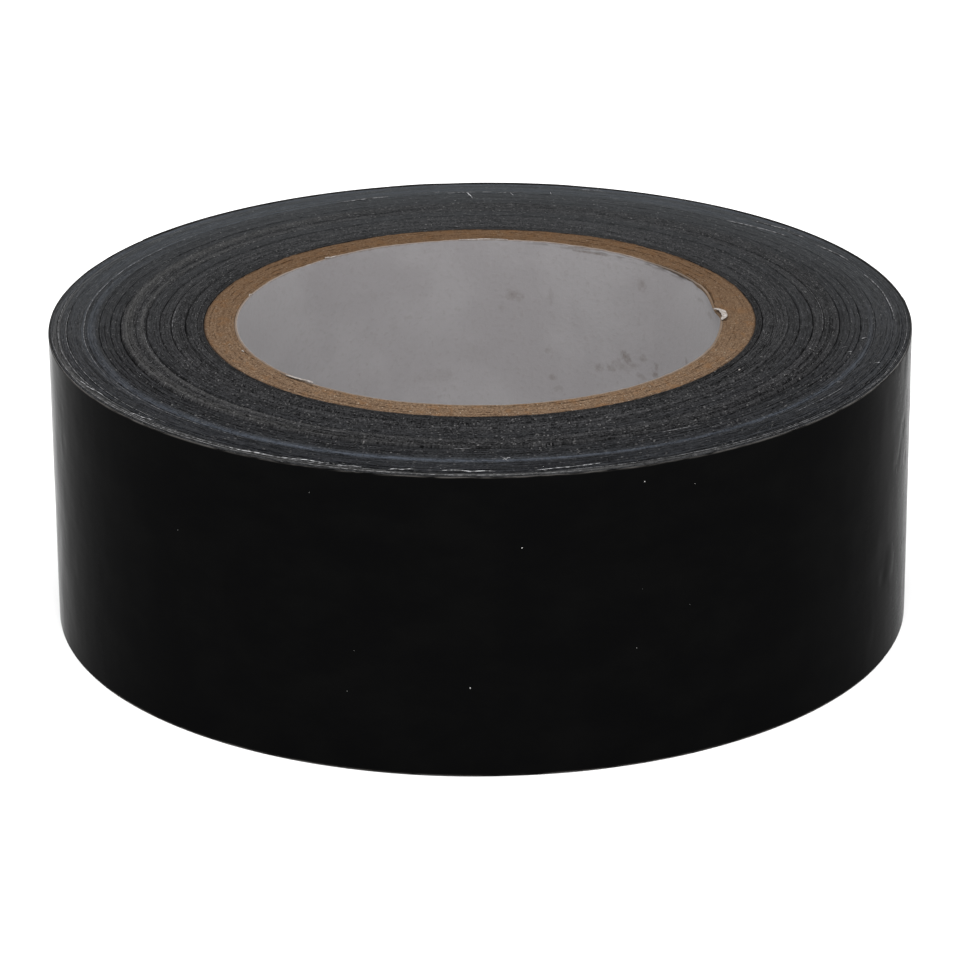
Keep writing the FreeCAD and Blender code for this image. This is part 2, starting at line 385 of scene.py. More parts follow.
def feed(socket, value):
    """Links a socket to another one, or sets it to a number or a colour."""
    if isinstance(value, bpy.types.NodeSocket):
        socket.id_data.links.new(value, socket)
    elif hasattr(socket.default_value, "__len__") and len(socket.default_value) == 4:
        socket.default_value = (*value, 1.0)
    else:
        socket.default_value = value


def new_node(kind, *values):
    """A node in the tree of the first socket among the values."""
    socket = next(value for value in values if isinstance(value, bpy.types.NodeSocket))
    return socket.id_data.nodes.new(kind)


def fed_node(kind, *values):
    """The same, with the values fed to its inputs in order."""
    node = new_node(kind, *values)
    for socket, value in zip(node.inputs, values):
        feed(socket, value)
    return node


def calc(operation, *values):
    node = fed_node("ShaderNodeMath", *values)
    node.operation = operation
    return node.outputs[0]


def times(first, *others):
    for other in others:
        first = calc("MULTIPLY", first, other)
    return first


def apart(first, second):
    return calc("ABSOLUTE", calc("SUBTRACT", first, second))


def total(*terms):
    """Sum of (weight, socket) pairs."""
    result = 0.0
    for weight, socket in terms:
        result = calc("MULTIPLY_ADD", socket, weight, result)
    return result


def ramp(value, low, high, to_low=0.0, to_high=1.0):
    node = fed_node("ShaderNodeMapRange", value, low, high, to_low, to_high)
    node.interpolation_type = "SMOOTHSTEP"
    return node.outputs[0]


def mix(factor, first, second):
    node = new_node("ShaderNodeMix", factor)
    node.data_type = "RGBA"
    feed(node.inputs[0], factor)
    feed(node.inputs[6], first)
    feed(node.inputs[7], second)
    return node.outputs[2]


def noise(vector, scale=1.0, detail=2.0, roughness=0.5):
    node = new_node("ShaderNodeTexNoise", vector)
    values = (vector, scale, detail, roughness)
    for name, value in zip(("Vector", "Scale", "Detail", "Roughness"), values):
        feed(node.inputs[name], value)
    return node.outputs["Fac"]


def place(shader):
    """X, Y, Z and distance from the axis, in mm."""
    coordinates = shader.id_data.nodes.new("ShaderNodeTexCoord").outputs["Object"]
    split = fed_node("ShaderNodeSeparateXYZ", coordinates)
    x, y, z = (times(split.outputs[i], 1 / MM) for i in range(3))
    return x, y, z, calc("SQRT", calc("ADD", times(x, x), times(y, y)))


def vector_of(x, y, z):
    return fed_node("ShaderNodeCombineXYZ", x, y, z).outputs[0]


def marks(where, along, across, shift, detail=2.0, roughness=0.5):
    """Noise with marks along mm long round the roll and across mm wide, at the wound edge's middle.
    Another shift gives other marks."""
    x, y, z, radius = where
    turn = 56.0 / along
    first = times(calc("DIVIDE", x, radius), turn)
    second = calc("MULTIPLY_ADD", calc("DIVIDE", y, radius), turn, shift)
    depth = calc("MULTIPLY_ADD", z, 0.61, radius)
    spot = vector_of(first, second, calc("MULTIPLY_ADD", depth, 1 / across, shift))
    return noise(spot, 1.0, detail, roughness)


def toward(where, x_share, y_share):
    """Highest on the side of the roll that lies in a direction, and lowest on the other side."""
    return calc("DIVIDE", total((x_share, where[0]), (y_share, where[1])), where[3])


def behind(where):
    """0 along the front of the roll and 1 elsewhere."""
    return ramp(calc("DIVIDE", where[1], where[3]), -0.45, -0.05)


def weave(z):
    """The distance along the strip, and the waves that the cloth prints up the strip and along it."""
    along = new_node("ShaderNodeAttribute", z)
    along.attribute_name = "along"
    reach = times(along.outputs["Fac"], 1 / MM)
    waves = [calc("SINE", times(value, 2 * math.pi / length))
             for value, length in zip((z, reach), THREAD_WAVES)]
    return reach, *waves


def finish_material(shader, colour, rough, height, depth, strength=1.0):
    """Connects a colour, a roughness and the height of a bump that is depth mm deep."""
    bump = new_node("ShaderNodeBump", height)
    feed(bump.inputs["Height"], height)
    feed(bump.inputs["Distance"], depth * MM)
    feed(bump.inputs["Strength"], strength)
    feed(shader.inputs["Base Color"], colour)
    feed(shader.inputs["Roughness"], rough)
    feed(shader.inputs["Normal"], bump.outputs[0])


def new_material(name, **constants):
    """A material and its shader, with constants set on the shader."""
    material = bpy.data.materials.new(name)
    material.use_nodes = True
    shader = material.node_tree.nodes["Principled BSDF"]
    for key, value in constants.items():
        shader.inputs[key.replace("_", " ")].default_value = value
    return material, shader


# --- materials


def pale_rings(number, where, tone, colour):
    """The colour of a band with its paler rings."""
    for band, radius, width, x_share, y_share, strength, paint in PALE_RINGS:
        if band == number:
            near = ramp(apart(where[3], radius), 0.0, width, 1.0, 0.0)
            facing = ramp(toward(where, x_share, y_share), 0.0, 0.9, 0.0, strength)
            glow = times(near, facing, ramp(tone, 0.36, 0.58, 0.1, 1.0))
            colour = mix(glow, colour, paint)
    return colour


def wound_edge(number, brightness, grain, shine):
    """The cut edges of many turns: film, cloth threads and adhesive in fine rings, with a painted
    sheen towards the back and, on the outermost band, painted shade along the rim except at the front.
    """
    material, shader = new_material(f"wound_edge_{number + 1:02d}", IOR=1.05 + 0.03 * shine)
    where = place(shader)
    shift = 3.7 * number
    tint = (1.0 - 0.03 * shine, 1.0 + 0.03 * shine, 1.0 + 0.13 * shine)
    rings = marks(where, 300.0, 0.24, shift + 3.1, 3.0, 0.7)
    patches = marks(where, 11.0, 0.9, shift + 7.7)
    streaks = marks(where, 2.1, 0.17, shift + 11.3)
    grains = marks(where, 0.34, 0.32, shift + 5.9, 2.0, 0.7)
    tone = total((0.26, rings), (0.12, patches), (0.26, streaks), (0.36 * grain, grains))
    tone = calc("ADD", tone, 0.18 * (1 - grain))
    dark = tuple(level * brightness for level in (0.0030, 0.0031, 0.0033))
    light = tuple(level * share * brightness for level, share in zip((0.0402, 0.0400, 0.0412), tint))
    colour = mix(ramp(tone, 0.37, 0.66), dark, light)
    pits = marks(where, 0.42, 0.22, shift + 17.0, 1.0)
    colour = mix(ramp(pits, 0.29, 0.40, 0.85 * grain, 0.0), colour, dark)
    ends = marks(where, 0.55, 0.22, shift + 23.0, 1.0)
    colour = mix(ramp(ends, 0.63, 0.78, 0.0, 0.75 * grain), colour, (0.115, 0.113, 0.112))
    # painted sheen: the wound edge paler towards the back of the roll, more on the shinier bands
    painted_back_sheen = ramp(where[1], -25.0, 75.0, 0.0, 0.16 + 0.28 * shine)
    colour = mix(painted_back_sheen, colour, (0.060 - 0.002 * shine, 0.062, 0.065))
    colour = pale_rings(number, where, tone, colour)
    if number == len(BANDS) - 1:
        # painted shade: the outermost band's rim darkened everywhere but along the front
        rim = ramp(calc("MULTIPLY_ADD", patches, 0.12, where[3]), 67.98, 68.10)
        colour = mix(times(rim, behind(where)), colour, (0.004, 0.004, 0.004))
    side = ramp(apart(where[2], MID_HEIGHT), 23.2, 23.5, 1.0, 0.0)
    colour = mix(side, colour, (0.0024, 0.0024, 0.0025))
    rough = ramp(grains, 0.3, 0.7, 0.52 - 0.20 * shine, 0.74 - 0.20 * shine)
    rough = calc("MULTIPLY_ADD", side, -0.3, rough)
    height = total((0.5, streaks), (0.8 * grain, grains), (0.4, rings))
    finish_material(shader, colour, rough, height, 0.10 * (1 - 0.45 * shine))
    return material


def film_material():
    """The black polyethylene film, faintly marked by the cloth under it, with a pale scuffed upper
    edge: wear, with a painted highlight along the front.
    """
    material, shader = new_material("black_film", IOR=1.033)
    where = place(shader)
    x, y, z, radius = where
    spot = vector_of(x, y, z)
    reach, up_wave, along_wave = weave(z)
    strip = vector_of(times(reach, 0.08), times(z, 0.12), 0.0)
    dents = noise(spot, 0.12, 2.0, 0.5)
    smears = noise(strip, 1.0, 3.0, 0.6)
    scratch = noise(vector_of(times(reach, 0.10), radius, z), 2.2, 3.0, 0.6)
    # pale upper edge: scuffs of wear, brightest along the front as a painted highlight
    edge = times(ramp(apart(z, MID_HEIGHT), 23.70, 23.98), ramp(scratch, 0.34, 0.60))
    edge = times(edge, ramp(behind(where), 0.0, 1.0, 1.0, 0.15))
    base = mix(ramp(smears, 0.35, 0.75), (0.0020, 0.0020, 0.0021), (0.0026, 0.0026, 0.0026))
    colour = mix(edge, base, (0.055, 0.052, 0.049))
    right = calc("DIVIDE", x, radius)
    scuffs = ramp(noise(spot, 0.30, 3.0, 0.6), 0.35, 0.65, 0.6, 1.2)
    scuffs = times(ramp(right, 0.70, 0.98), scuffs)
    rough = total((0.06, smears), (0.30, edge), (0.05, scuffs))
    rough = calc("ADD", rough, 0.11)
    pits = ramp(noise(spot, 1.0, 2.0, 0.6), 0.60, 0.70)
    pits = times(pits, ramp(right, 0.92, 0.99))
    height = total((0.0015, up_wave), (0.001, along_wave), (0.15, dents), (-0.09, pits))
    finish_material(shader, colour, rough, height, 1.0, 0.6)
    return material


def adhesive_material():
    """Dark rubber adhesive, with the cloth's grid pressed into it and painted shade along its upper
    edge except at the front.
    """
    material, shader = new_material("dark_adhesive", Specular_IOR_Level=0.4)
    where = place(shader)
    z = where[2]
    _, up_wave, along_wave = weave(z)
    lines = [calc("POWER", calc("ABSOLUTE", wave), sharpness)
             for wave, sharpness in ((up_wave, 6.0), (along_wave, 12.0))]
    grid = calc("MAXIMUM", *lines)
    blots = noise(vector_of(*where[:3]), 0.5, 4.0, 0.6)
    tone = total((0.45, grid), (0.9, blots))
    colour = mix(ramp(tone, 0.3, 1.0), (0.030, 0.030, 0.032), (0.115, 0.112, 0.108))
    # painted shade: the upper edge darkened everywhere but along the front
    rim = times(behind(where), ramp(z, MID_HEIGHT + 23.6, MID_HEIGHT + 23.9))
    colour = mix(rim, colour, (0.006, 0.006, 0.006))
    rough = ramp(blots, 0.3, 0.7, 0.32, 0.58)
    finish_material(shader, colour, rough, total((0.05, grid), (0.1, blots)), 1.0, 0.7)
    return material


def scrim_material():
    """The cloth layer, seen only as a line of thread ends along the tape's edge, darkened by painted
    shade except along the front.
    """
    material, shader = new_material("cloth_scrim", Specular_IOR_Level=0.2)
    where = place(shader)
    ends = marks(where, 0.7, 0.3, 2.0, 1.0)
    colour = mix(ramp(ends, 0.42, 0.62), (0.03, 0.03, 0.032), (0.26, 0.26, 0.26))
    # painted shade: the thread ends darkened everywhere but along the front
    painted_rim_shade = ramp(behind(where), 0.0, 1.0, 0.0, 0.85)
    colour = mix(painted_rim_shade, colour, (0.008, 0.008, 0.008))
    finish_material(shader, colour, ramp(ends, 0.3, 0.7, 0.7, 0.9), ends, 0.05)
    return material


def kraft_material():
    """Cut kraft paper: short fibres, rusty patches and a few pale and dark flecks, with painted shade
    towards the back and in a crevice at the bore's edge, and darker along its outer edge.
    """
    material, shader = new_material("cut_kraft", IOR=1.05)
    where = place(shader)
    spot = vector_of(*where[:3])
    fibres = marks(where, 0.55, 0.24, 4.0, 3.0, 0.65)
    layers = marks(where, 9.0, 0.45, 9.0)
    patches = marks(where, 2.6, 1.6, 14.0, 3.0, 0.55)
    grains = noise(spot, 3.0, 3.0, 0.65)
    tone = total((0.28, fibres), (0.12, layers), (0.60, grains))
    colour = mix(ramp(tone, 0.38, 0.62), (0.062, 0.038, 0.024), (0.166, 0.113, 0.073))
    rust = ramp(patches, 0.50, 0.70, 0.0, 0.55)
    colour = mix(rust, colour, (0.142, 0.077, 0.037))
    pale = ramp(marks(where, 0.40, 0.32, 31.0, 1.0), 0.67, 0.77, 0.0, 0.8)
    colour = mix(pale, colour, (0.33, 0.285, 0.225))
    dark = ramp(marks(where, 0.5, 0.22, 41.0, 1.0), 0.69, 0.79, 0.0, 0.85)
    colour = mix(dark, colour, (0.020, 0.013, 0.009))
    # painted shade: the core's face darker towards the back of the roll
    shade = ramp(where[1], -42.0, 40.0, 0.0, 0.56)
    colour = mix(shade, colour, (0.064, 0.034, 0.016))
    # painted shade in the crevice at the bore's edge, on the right a little towards the back
    inner = ramp(calc("MULTIPLY_ADD", patches, 0.25, where[3]), 39.10, 39.20, 1.0, 0.0)
    crevice_shade = times(inner, ramp(toward(where, 0.875, 0.485), 0.970, 0.992))
    colour = mix(crevice_shade, colour, (0.024, 0.016, 0.011))
    # darker along the core's outer edge, next to the tape
    outer_edge_dark = ramp(calc("MULTIPLY_ADD", fibres, 0.5, where[3]), 43.60, 44.05, 0.0, 0.85)
    colour = mix(outer_edge_dark, colour, (0.022, 0.015, 0.011))
    rough = ramp(grains, 0.3, 0.7, 0.82, 0.97)
    height = total((0.4, fibres), (0.6, grains), (0.1, layers))
    finish_material(shader, colour, rough, height, 0.13)
    return material


def smudges(where, mottle):
    """How dark the smudges on the bore's paper are at each point."""
    darkness = 0.0
    for angle, height, wide, high, strength in SMUDGES:
        turn = math.radians(angle)
        centre = (BORE_RADIUS * math.cos(turn), BORE_RADIUS * math.sin(turn), height)
        squares = 0.0
        for value, middle, size in zip(where, centre, (wide, wide, high)):
            share = calc("DIVIDE", calc("SUBTRACT", value, middle), size * 1.4)
            squares = calc("MULTIPLY_ADD", share, share, squares)
        squares = calc("MULTIPLY_ADD", mottle, 3.2, calc("SUBTRACT", squares, 1.3))
        darkness = calc("MAXIMUM", darkness, ramp(squares, -0.3, 1.4, strength, 0.0))
    return darkness


def liner_material():
    """Grey recycled paper inside the bore, with soft smudges, a grimy stretch of rim, painted light on
    its left and right walls and painted shade along its lip on the right, a little towards the back.
    """
    material, shader = new_material("grey_liner", IOR=1.15)
    where = place(shader)
    x, y, z, radius = where
    spot = vector_of(x, y, z)
    clouds = noise(spot, 0.075, 3.0, 0.55)
    pulp = noise(spot, 1.3, 4.0, 0.65)
    mottle = noise(spot, 1.2, 4.0, 0.7)
    brown = (0.110, 0.073, 0.046)
    colour = mix(ramp(clouds, 0.35, 0.70), (0.236, 0.226, 0.230), (0.262, 0.253, 0.257))
    colour = mix(ramp(pulp, 0.50, 0.75, 0.0, 0.40), colour, (0.200, 0.184, 0.180))
    sideways = calc("DIVIDE", calc("ABSOLUTE", x), radius)
    # painted light: the paper lighter towards the bore's left and right walls
    colour = mix(ramp(sideways, 0.70, 1.0, 0.0, 0.55), colour, (0.300, 0.291, 0.295))
    colour = mix(smudges(where, mottle), colour, (0.120, 0.098, 0.086))
    streak = marks(where, 4.0, 0.25, 51.0, 3.0)
    facing = ramp(toward(where, 0.68, 0.73), 0.80, 0.95)
    grime = times(ramp(z, 46.6, 47.9), facing, ramp(streak, 0.46, 0.62, 0.0, 0.60))
    colour = mix(grime, colour, (0.060, 0.048, 0.040))
    cut = calc("MULTIPLY_ADD", pulp, 0.10, radius)
    colour = mix(ramp(cut, 38.62, 38.70, 0.0, 0.92), colour, brown)
    # painted shade: the lip darkened where it meets the kraft, on the right a little towards the back
    lip = ramp(calc("MULTIPLY_ADD", streak, 0.6, z), 47.80, 48.05)
    lip = times(lip, ramp(toward(where, 0.875, 0.485), 0.945, 0.985))
    colour = mix(lip, colour, (0.040, 0.030, 0.022))
    knocked = times(ramp(z, 47.40, 47.52), ramp(sideways, 0.895, 0.92), ramp(x, 0.0, 1.0))
    colour = mix(knocked, colour, brown)
    rim = calc("MULTIPLY_ADD", pulp, 0.5, z)
    colour = mix(ramp(rim, 47.95, 48.15, 0.0, 0.6), colour, (0.150, 0.118, 0.095))
    rough = ramp(pulp, 0.3, 0.7, 0.62, 0.80)
    finish_material(shader, colour, rough, total((0.6, pulp), (0.8, clouds)), 0.12)
    return material


def fibre_material(name, grain, contrast, dark, pale, rough, depth):
    """Paper or thread between two colours. grain is the scale, detail and roughness of its noise."""
    material, shader = new_material(name, Specular_IOR_Level=0.25)
    fuzz = noise(vector_of(*place(shader)[:3]), *grain)
    colour = mix(ramp(fuzz, *contrast), dark, pale)
    finish_material(shader, colour, ramp(fuzz, 0.3, 0.7, *rough), fuzz, depth)
    return material


def thread_material(name, low, high):
    """Cloth thread between two greys."""
    dark, pale = ((grey, grey, 1.03 * grey) for grey in (low, high))
    return fibre_material(name, (1.2, 3.0), (0.40, 0.62), dark, pale, (0.6, 0.85), 0.03)


def floor_material():
    shade = (FLOOR_SHADE, FLOOR_SHADE, FLOOR_SHADE, 1.0)
    return new_material("floor", Specular_IOR_Level=0.0, Base_Color=shade, Roughness=0.9)[0]


# --- core


def section(top, bottom, levels=(0.25, 0.5, 0.75)):
    """Joins the (radius, height) of a top, given inwards to outwards, and of a bottom, given outwards
    to inwards, by two sides with a point at each level, as a share of the way down. All arrays have
    a row for each step round the roll."""
    down = np.array(levels)[None, :]
    joined = []
    for upper, lower in zip(top, bottom):
        outer_side = upper[:, -1:] + (lower[:, :1] - upper[:, -1:]) * down
        inner_side = lower[:, -1:] + (upper[:, :1] - lower[:, -1:]) * (1 - down[:, ::-1])
        joined.append(np.concatenate([upper, outer_side, lower, inner_side], 1))
    return joined


def near_path(radius, angle, first, last, width):
    """1 on the straight mark from first to last, each (angle in degrees, radius), fading to 0
    over width mm. The mark is taken as straight in angle and radius."""
    a0, r0 = math.radians(first[0]), first[1]
    a1, r1 = math.radians(last[0]), last[1]
    turn = (angle - a0 + math.pi) % (2 * math.pi) - math.pi
    span = (a1 - a0) * r0
    u, v = turn * r0, radius - r0
    length = span**2 + (r1 - r0) ** 2
    t = np.clip((u * span + v * (r1 - r0)) / length, 0, 1)
    distance = np.hypot(u - t * span, v - t * (r1 - r0))
    return np.exp(-((distance / width) ** 2))


def knock():
    """How far the bore's upper edge is knocked in at each step round the roll: 1 at the deepest."""
    turn = (np.degrees(round_angles()) + 180) % 360 - 180
    return smooth(turn, 23, 7) * (1 - 0.62 * smooth(turn, 6, 0)) * (1 - smooth(turn, -10, -26))


def knocked_in(radius, height):
    """The radius after the knock that pushed the upper edge of the bore inwards."""
    near_bore = 1 - smooth(radius, KNOCK_START, KNOCK_START + KNOCK_REACH)
    near_top = np.exp(-(((heights("core_liner")[1] - height) / KNOCK_HEIGHT) ** 2))
    return radius - KNOCK_DEPTH * knock() * near_bore * near_top


def core_ring(name, node, inner, material, rng, rows, wear):
    """One wound paper tube of the core. wear is how far its two upper edges are lowered by wear, in
    mm.
    """
    outer = outer_radius(node)
    low, high = heights(node)
    inset = 0.004
    radius = np.repeat(np.linspace(inner + inset, outer - inset, rows)[None, :], STEPS, 0)
    rough = 0.035 * noise_field(rng, radius.shape, (1.2, 0.7))
    rough = rough + 0.03 * noise_field(rng, radius.shape, (9, 2))
    height = high - 0.04 + rough
    height[:, 0] -= wear[0]
    height[:, -1] -= wear[1]
    for first, last, width, depth in CRACKS:
        height -= depth * near_path(radius, round_angles(), first, last, width)
    bottom_radius = np.repeat(np.linspace(outer - inset, inner + inset, 3)[None, :], STEPS, 0)
    bottom_height = low + np.clip(0.03 + 0.03 * noise_field(rng, (STEPS, 3), (3, 1)), 0.0, 0.1)
    radius, height = section((radius, height), (bottom_radius, bottom_height), EDGE_LEVELS)
    piece = make_ring(name, knocked_in(radius, height), height, material)
    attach(piece, "roll")
    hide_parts(node)


def make_liner(material, rng):
    """The bore's paper skin: a thin tube, slightly wavy, with a frayed upper edge."""
    outer = outer_radius("core_liner")
    low, high = heights("core_liner")
    rows = 26
    fray = 0.02 * noise_line(rng, STEPS, 1.3) + 0.03 * noise_line(rng, STEPS, 9)
    fray = np.clip(fray, -0.12, 0.08)[:, None] - 0.30 * knock()
    lean = 0.03 * smooth(noise_line(rng, STEPS, 18), 0.6, 1.8)[:, None]
    down = np.concatenate([[0.0, 0.004], np.linspace(0.02, 1, rows - 2)])[None, :]
    wave = 0.03 * noise_field(rng, (STEPS, rows), (40, 5))
    inside_radius = BORE_RADIUS + 0.01 + wave * (down * (1 - down) * 4) - lean * np.exp(-down * 60)
    inside_height = high - 0.12 + fray + (low - high + 0.12 - fray) * down**1.35
    top_radius = np.repeat([[0, outer - 0.10, outer - 0.02]], STEPS, 0)
    top_radius[:, :1] = inside_radius[:, :1] + 0.05
    top_radius[:, :2] -= lean * 0.5
    top_height = [inside_height[:, :1] + 0.05, high - 0.05 + fray, high - 0.12 + fray * 0.4]
    back_height = np.repeat(high + (low - high) * np.array([*EDGE_LEVELS, 1.0])[None, :], STEPS, 0)
    back_radius = np.full(back_height.shape, outer - 0.02)
    radius = np.concatenate([top_radius, back_radius, inside_radius[:, ::-1]], 1)
    height = np.concatenate([*top_height, back_height, inside_height[:, ::-1]], 1)
    piece = make_ring("liner", knocked_in(radius, height), height, material)
    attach(piece, "roll")
    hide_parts("core_liner")


def make_core(looks, rng):
    make_liner(looks["liner"], rng)
    inner = outer_radius("core_liner")
    for ply in range(1, PLIES + 1):
        node = f"core_kraft_ply_{ply}"
        wear = (0.10 if ply == 1 else 0.0, 0.0)
        core_ring(f"kraft_ply_{ply}", node, inner, looks["kraft"], rng, 7, wear)
        inner = outer_radius(node)
    core_ring("cover_ply", "core_cover_ply", inner, looks["kraft"], rng, 5, (0.0, 0.14))


# --- tape


def band_top(rng, top, turns, grooves):
    """The wound edge of a band: a ridge for each turn, uneven from turn to turn and round the roll,
    with a groove at its inner and outer side. Gives how far it strays in radius, and its height."""
    count = 2 * turns + 1
    each = np.repeat(rng.normal(0, 0.032, turns), 2)
    each = np.append(each, each[-1])[None, :]
    valley = np.where(np.arange(count) % 2 == 0, 0.040, 0.0)[None, :]
    ragged = 0.026 * noise_field(rng, (STEPS, count), (0.8, 0.6))
    wander = 0.026 * noise_field(rng, (STEPS, count), (55, 2.5))
    height = top + each - valley + ragged + wander
    uneven = 1 + 0.5 * noise_line(rng, STEPS, 30) + 0.35 * noise_line(rng, STEPS, 1.6)
    uneven = np.clip(uneven, 0.1, 2.2)[:, None]
    step = np.arange(count)[None, :]
    for depth, far in zip(grooves, (step, count - 1 - step)):
        height -= depth * uneven * np.exp(-((far / 1.1) ** 2))
    stray = np.repeat(0.03 * noise_field(rng, (STEPS, 1), (60, 0)), count, 1)
    stray[:, 0] += 0.012
    stray[:, -1] -= 0.012
    return stray, height


def make_band(number, inner, outer, rng):
    """One band of whole turns. outer may vary round the roll."""
    turns, brightness, grain, shine, drop, groove = BANDS[number]
    grooves = (BANDS[number - 1][-1] if number else 0.0, groove)
    node = band_node(number)
    low, high = heights(node)
    share = np.linspace(0, 1, 2 * turns + 1)[None, :]
    stray, height = band_top(rng, high - drop, turns, grooves)
    radius = inner + (outer - inner) * share + stray
    below = max(3, turns // 2)
    back = np.linspace(1, 0, below)[None, :]
    bottom_radius = np.ones((STEPS, 1)) * (inner + 0.04 + (outer - inner - 0.08) * back)
    bottom_height = low + np.clip(0.04 + 0.02 * noise_field(rng, (STEPS, below), (2, 0.5)), 0.0, 0.1)
    bottom_height[:, [0, -1]] += 0.12
    radius, height = section((radius, height), (bottom_radius, bottom_height))
    material = wound_edge(number, brightness, grain, shine)
    piece = make_ring(f"wound_{node}", radius, height, material)
    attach(piece, "roll")
    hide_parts(node)


def spiral_radius(turn, start, thickness):
    """Radius of the last turn's inner face at an angle, in radians, past the place where it begins."""
    quarter = thickness / 4
    first = start + quarter - quarter * np.cos(turn)
    second = start + 3 * quarter + quarter * np.cos(turn)
    return np.where(turn < math.pi, first, second)


def strip_section(angle, inside, outside, low, high, shape):
    """Section of one layer of the strip. shape is added to its outer face, a column for each level."""
    middle = np.linspace(high - 0.35, low + 0.35, shape.shape[1] - 4)
    down = np.concatenate([[high - 0.02, high - 0.10], middle, [low + 0.10, low + 0.02]])
    up = np.linspace(low + 0.01, high - 0.01, 6)
    ones = np.ones((len(angle), 1))
    corner = 0.7 * inside + 0.3 * outside
    radius = [corner[:, None], outside[:, None] + shape, np.repeat(inside[:, None], len(up), 1)]
    return np.concatenate(radius, 1), ones * np.concatenate([[high], down, up])[None, :]


def film_shape(rng, angle, rows):
    """Small bumps, dents and folds in the film, most of them on the +X side."""
    shape = (len(angle), rows)
    soft = 0.016 * noise_field(rng, shape, (16, 5))
    fine = 0.006 * noise_field(rng, shape, (3.5, 2.5))
    side = smooth(np.cos(angle - math.radians(-6)), 0.90, 0.99)[:, None]
    other = smooth(np.cos(angle - math.radians(188)), 0.93, 0.99)[:, None]
    dents = smooth(noise_field(rng, shape, (3.0, 1.6)), 1.3, 2.8)
    folds = smooth(noise_field(rng, shape, (5.0, 3.5)), 1.0, 2.6)
    surface = np.maximum(soft + 0.02, 0) + fine
    return surface - dents * (0.10 * side + 0.03 * other) + folds * (0.09 * side)


def make_last_turn(looks, start, thickness, rng):
    """The last whole turn, layer by layer, up to where the free end begins."""
    reach = 2 * math.pi - math.radians(FREE_SEGMENTS * SEGMENT_ANGLE)
    turn = np.linspace(0, reach, STEPS)
    angle = math.radians(FREE_END_ANGLE) + turn
    base = spiral_radius(turn, start, thickness)
    base = base + CLEARANCE * smooth(turn, reach - 0.3, reach)
    for layer, inside, outside in LAYERS:
        node = f"last_turn_{layer}"
        low, high = heights(node)
        if layer == "backing_film":
            ends = smooth(np.minimum(turn, reach - turn), 0.0, 0.12)[:, None]
            shape = film_shape(rng, angle, 64) * ends
            shape[:, 0] -= 0.035
            radius, height = strip_section(angle, base + inside, base + outside, low, high, shape)
            lip = 0.014 * noise_line(rng, STEPS, 4) + 0.03 * noise_line(rng, STEPS, 40)
            height[:, :2] += lip[:, None]
        else:
            shape = np.zeros((STEPS, 8))
            face = base + outside - 0.002
            top = high - EDGE_RECESS
            radius, height = strip_section(angle, base + inside, face, low, top, shape)
        piece = make_strip(f"outer_turn_{layer}", angle, radius, height, looks[layer])
        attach(piece, "roll")
        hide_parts(node)


def free_end_piece(looks, name, node, turn, base, layer):
    """One layer of a stretch of the free end. base is the radius of the strip's inner face."""
    look, inside, outside = layer
    film = look == "backing_film"
    low, high = heights(node)
    top = high if film else high - EDGE_RECESS
    shape = np.zeros((len(turn), 48 if film else 24))
    angle = math.radians(FREE_END_ANGLE) + turn
    radius, height = strip_section(angle, base + inside, base + outside, low, top, shape)
    return make_strip(name, angle, radius, height, looks[look])


def make_free_end(looks, start, thickness):
    """The peelable end. Each stretch of it between two hinges is two pieces, a and b, laid along the
    roll.
    The last piece gets a ragged cut end and goes with the last stretch's body; the others stay fixed
    in place."""
    pivot = Vector(frame["joints"][0]["pos_m"])
    half = math.radians(SEGMENT_ANGLE) / 2
    begin = 2 * math.pi - 2 * FREE_SEGMENTS * half

    def middle(number):
        turn = begin + (2 * number - 1) * half
        reach = float(spiral_radius(turn, start, thickness)) + CLEARANCE + thickness
        angle = math.radians(FREE_END_ANGLE) + turn
        return Vector((reach * math.cos(angle) * MM, reach * math.sin(angle) * MM, pivot.z))

    bodies = ["roll"] + [f"free_end_{number}" for number in range(1, FREE_SEGMENTS + 1)]
    for stretch in range(2 * FREE_SEGMENTS):
        number = stretch // 2 + 1
        before = (stretch + 1) // 2
        turn = np.linspace(begin + stretch * half, begin + (stretch + 1) * half, 15)
        base = spiral_radius(turn, start, thickness) + CLEARANCE
        for layer in LAYERS:
            node = f"free_end_{number}_{layer[0]}"
            name = f"peeling_{number}{'ab'[stretch % 2]}_{layer[0]}"
            piece = free_end_piece(looks, name, node, turn, base, layer)
            if before < FREE_SEGMENTS:
                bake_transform(piece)
            else:
                ragged_end(piece, len(piece.data.vertices) // len(turn))
                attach(piece, bodies[before])
            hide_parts(node)


def ragged_end(piece, count):
    """Pulls the cut edge in and out a little, as tape torn or cut by hand."""
    vertices = piece.data.vertices
    for number in range(len(vertices) - count, len(vertices)):
        co = vertices[number].co
        back = 0.00035 * (0.5 + 0.5 * math.sin(co.z * 2900) * math.sin(co.z * 1130 + 1.0))
        along = Vector((co.y, -co.x, 0)).normalized()
        vertices[number].co = co + along * back


def make_tape(looks, rng):
    inner = outer_radius("core_cover_ply")
    whole = outer_radius(band_node(len(BANDS) - 2))
    thickness = (whole - inner) / sum(band[0] for band in BANDS[:-1])
    for number in range(len(BANDS) - 1):
        outer = outer_radius(band_node(number))
        make_band(number, inner, outer, rng)
        inner = outer
    start = whole + (BANDS[-1][0] - 1) * thickness
    turn = (round_angles() - math.radians(FREE_END_ANGLE)) % (2 * math.pi)
    outer = spiral_radius(turn, start, thickness)
    make_band(len(BANDS) - 1, inner, outer - 0.004, rng)
    make_last_turn(looks, start, thickness, rng)
    make_free_end(looks, start, thickness)


# --- threads, paper scraps and lint


